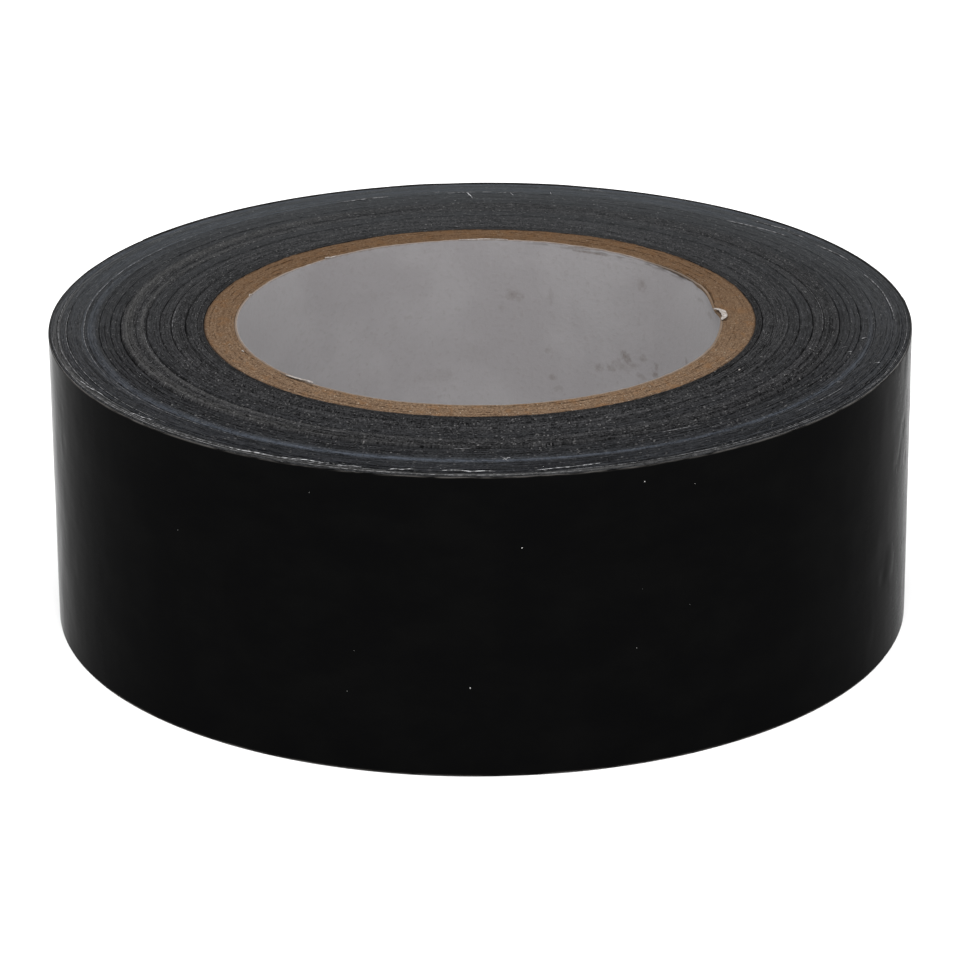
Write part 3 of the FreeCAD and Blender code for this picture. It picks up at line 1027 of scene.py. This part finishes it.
def sideways_and_up(path):
    """Unit vectors across a path at each of its points, with a middle axis for what is laid there."""
    forward = np.gradient(path, axis=0)
    forward /= np.linalg.norm(forward, axis=1, keepdims=True)
    side = np.cross(forward, [0, 0, 1.0])
    side /= np.linalg.norm(side, axis=1, keepdims=True)
    return side[:, None, :], np.cross(side, forward)[:, None, :]


def tube(path, radii, sides=7):
    """Points and faces of a closed tube along a path, both in mm."""
    side, up = sideways_and_up(path)
    turn = np.linspace(0, 2 * math.pi, sides, endpoint=False)[None, :, None]
    ring = side * np.cos(turn) + up * np.sin(turn)
    points = (path[:, None, :] + radii[:, None, None] * ring).reshape(-1, 3)
    faces = grid_faces(len(path), sides, False)
    return points, faces[:, ::-1], cap_faces(len(path), sides)[:, ::-1]


def gather(name, shapes, material):
    """One piece from several (points, faces, caps) shapes."""
    points, faces, first = [], [], 0
    for shape, *blocks in shapes:
        points.append(shape)
        faces += [block + first for block in blocks]
        first += len(shape)
    piece = make_piece(name, np.concatenate(points), faces, material)
    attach(piece, "roll")
    return piece


def lay_thread(rng, first, last, radii, top, thick, wave):
    """A thread lying on the wound edge between two angles, in degrees."""
    steps = max(10, int(abs(last - first) * 1.5))
    share = np.linspace(0, 1, steps)
    angle = np.radians(first + (last - first) * share)
    swell = np.sin(share * math.pi)
    radius = radii[0] + (radii[1] - radii[0]) * share + wave * noise_line(rng, steps, 3.5) * swell
    height = top + thick * 0.5 + 0.7 * wave * np.abs(noise_line(rng, steps, 4)) * swell
    return tube(polar(angle, radius, height), thick * (0.35 + 0.65 * swell**0.5))


def make_threads(looks, top, rng):
    """Threads pulled out of the wound edge, and finer strands that follow the turns."""
    shapes = [lay_thread(rng, first, last, (start, end), top, thick, wave)
              for first, start, last, end, thick, wave in LOOSE_THREADS]
    gather("loose_threads", shapes, looks["thread"])
    shapes = [lay_thread(rng, first, last, (start, end), top, thick, STRAND_WAVE)
              for first, start, last, end, thick in STRANDS]
    gather("fine_strands", shapes, looks["strand"])


def make_short_fibres(material, top, rng):
    """Short ends of cloth thread that stand out of the wound edge, mostly in its rougher bands."""
    shapes = []
    for number in range(FIBRES_ALL_OVER + FIBRES_IN_PATCH):
        radius = 56.0 + rng.normal(0, 5.0)
        angle = rng.uniform(0, 2 * math.pi)
        if number >= FIBRES_ALL_OVER:
            radius = 55.0 + rng.normal(0, 1.6)
            angle = math.radians(rng.normal(205, 22))
        radius = min(max(radius, 45.0), 67.6)
        length = rng.uniform(0.10, 0.45)
        share = np.linspace(-0.5, 0.5, 5)
        along = share * length
        out = along * rng.normal(0, 0.3)
        turn = angle + along / radius
        height = top + 0.03 * rng.random() + 0.05 * (0.25 - share**2)
        path = polar(turn, radius + out, height)
        shapes.append(tube(path, 0.018 * (1.1 - 2.4 * share**2) + 0.006, 5))
    gather("short_fibres", shapes, material)


def ribbon(path, widths, cup):
    """A narrow scrap of paper along a path, in mm, cupped across its width by cup mm."""
    side, up = sideways_and_up(path)
    count = 7
    across = np.linspace(-1, 1, count)
    loop = np.concatenate([across, across[::-1]])[None, :, None]
    lift = cup * loop**2 + SCRAP_THICKNESS / 2 * np.repeat([1, -1], count)[None, :, None]
    points = path[:, None, :] + side * loop * (widths[:, None, None] / 2) + up * lift
    faces = grid_faces(len(path), 2 * count, False)
    return points.reshape(-1, 3), faces, cap_faces(len(path), 2 * count)


def make_scraps(material, top, rng):
    shapes = []
    steps = 22
    share = np.linspace(0, 1, steps)
    weights = [(1 - share) * (1 - 2 * share), 4 * share * (1 - share), share * (2 * share - 1)]
    for points, width, cup in SCRAPS:
        angle, radius, height = np.array(points).T @ np.stack(weights)
        radius = radius + 0.04 * noise_line(rng, steps, 3)
        height = height + top + 0.03 * noise_line(rng, steps, 3)
        widths = width * (0.5 + 0.5 * np.sin(share * math.pi) ** 0.6)
        widths = widths * (1 + 0.12 * noise_line(rng, steps, 1.5))
        shapes.append(ribbon(polar(np.radians(angle), radius, height), widths, cup))
    gather("torn_paper_scraps", shapes, material)


def speck(centre, normal, size, rng):
    """A flattened crumb sunk a little into the surface under it."""
    rings, sides = 5, 8
    tilt = np.linspace(0.12, math.pi - 0.12, rings)[:, None]
    turn = np.linspace(0, 2 * math.pi, sides, endpoint=False)[None, :]
    wobble = 1 + 0.3 * rng.standard_normal((rings, sides)).clip(-1.2, 1.2)
    local = polar(turn, np.sin(tilt), 0.45 * np.cos(tilt) * np.ones_like(turn))
    local = (local * wobble[..., None]).reshape(-1, 3) * size / 2
    spin = Vector(normal).to_track_quat("Z", "Y").to_matrix()
    points = local @ np.array(spin).T + centre
    faces = grid_faces(rings, sides, False)
    return points, faces[:, ::-1], cap_faces(rings, sides)[:, ::-1]


def make_lint(material, outside, top, rng):
    shapes = []
    for angle, height, size in LINT:
        turn = math.radians(angle)
        shapes.append(speck(polar(turn, outside, height), polar(turn, 1, 0), size, rng))
    for _ in range(CRUMBS):
        turn = rng.uniform(0, 2 * math.pi)
        centre = polar(turn, rng.uniform(45, 67.5), top + 0.01)
        shapes.append(speck(centre, (0, 0, 1), rng.uniform(0.05, 0.13), rng))
    gather("lint_specks", shapes, material)


# --- stage


def make_floor():
    corners = ((-1, -1), (1, -1), (1, 1), (-1, 1))
    points = [(x * FLOOR_REACH, y * FLOOR_REACH, FLOOR_HEIGHT) for x, y in corners]
    floor = make_piece("floor", points, [[(0, 1, 2, 3)]], floor_material())


def make_sky():
    world = bpy.data.worlds.new("studio")
    bpy.context.scene.world = world
    world.use_nodes = True
    background = world.node_tree.nodes["Background"]
    background.inputs["Color"].default_value = (1.0, 1.0, 1.0, 1.0)
    background.inputs["Strength"].default_value = SKY_STRENGTH


def make_key_light():
    """A large soft light over the roll, aimed at its middle."""
    lamp = bpy.data.lights.new("key_light", "AREA")
    lamp.shape = "RECTANGLE"
    lamp.size = KEY_LIGHT_SIZE[0] * MM
    lamp.size_y = KEY_LIGHT_SIZE[1] * MM
    lamp.energy = KEY_LIGHT_WATTS
    item = add_object("key_light", lamp)
    item.location = Vector(KEY_LIGHT_PLACE) * MM
    item.rotation_euler = (-item.location).to_track_quat("-Z", "Y").to_euler()


def make_camera():
    yaw, pitch, roll = (math.radians(v) for v in (CAMERA_YAW, CAMERA_PITCH, CAMERA_ROLL))
    ahead = Vector((math.sin(yaw) * math.cos(pitch), math.cos(yaw) * math.cos(pitch), math.sin(pitch)))
    right = ahead.cross(Vector((0, 0, 1))).normalized()
    up = right.cross(ahead)
    across = right * math.cos(roll) + up * math.sin(roll)
    above = up * math.cos(roll) - right * math.sin(roll)
    data = bpy.data.cameras.new("camera")
    data.lens = CAMERA_LENS
    data.sensor_width = CAMERA_SENSOR
    data.clip_start = 0.01
    data.clip_end = 50.0
    camera = add_object("camera", data)
    turn = Matrix((across, above, -ahead)).transposed().to_4x4()
    camera.matrix_world = Matrix.Translation(Vector(CAMERA_PLACE) * MM) @ turn
    bpy.context.scene.camera = camera


# --- the whole scene

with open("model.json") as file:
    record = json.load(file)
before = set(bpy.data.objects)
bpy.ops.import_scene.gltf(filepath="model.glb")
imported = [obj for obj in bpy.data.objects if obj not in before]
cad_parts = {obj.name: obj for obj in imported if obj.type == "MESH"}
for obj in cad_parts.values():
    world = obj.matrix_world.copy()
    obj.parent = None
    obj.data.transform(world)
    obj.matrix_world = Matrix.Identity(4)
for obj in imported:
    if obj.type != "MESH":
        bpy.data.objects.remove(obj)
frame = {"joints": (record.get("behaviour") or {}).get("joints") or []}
cad_low, cad_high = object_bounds()
generator = np.random.default_rng(SEED)
materials = {
    "liner": liner_material(),
    "kraft": kraft_material(),
    "adhesive": adhesive_material(),
    "cloth_scrim": scrim_material(),
    "backing_film": film_material(),
    "paper": fibre_material("torn_paper", (2.4, 3.0, 0.6), (0.35, 0.7), (0.19, 0.165, 0.145),
                            (0.36, 0.335, 0.32), (0.75, 0.92), 0.10),
    "thread": thread_material("pale_thread", 0.080, 0.42),
    "strand": thread_material("grey_strand", 0.032, 0.180),
    "lint": fibre_material("lint", (5.0, 1.0), (0.3, 0.7), (0.22, 0.22, 0.22), (0.55, 0.54, 0.52),
                           (0.7, 0.9), 0.03),
}
make_core(materials, generator)
make_tape(materials, generator)
wound_face = heights(band_node(LEVEL_BAND))[1]
make_threads(materials, wound_face, generator)
make_short_fibres(materials["strand"], wound_face, generator)
make_scraps(materials["paper"], heights("core_liner")[1], generator)
make_lint(materials["lint"], cad_high.x / MM, wound_face, generator)
make_floor()
make_sky()
make_key_light()
make_camera()
bpy.context.scene.view_settings.view_transform = "Standard"
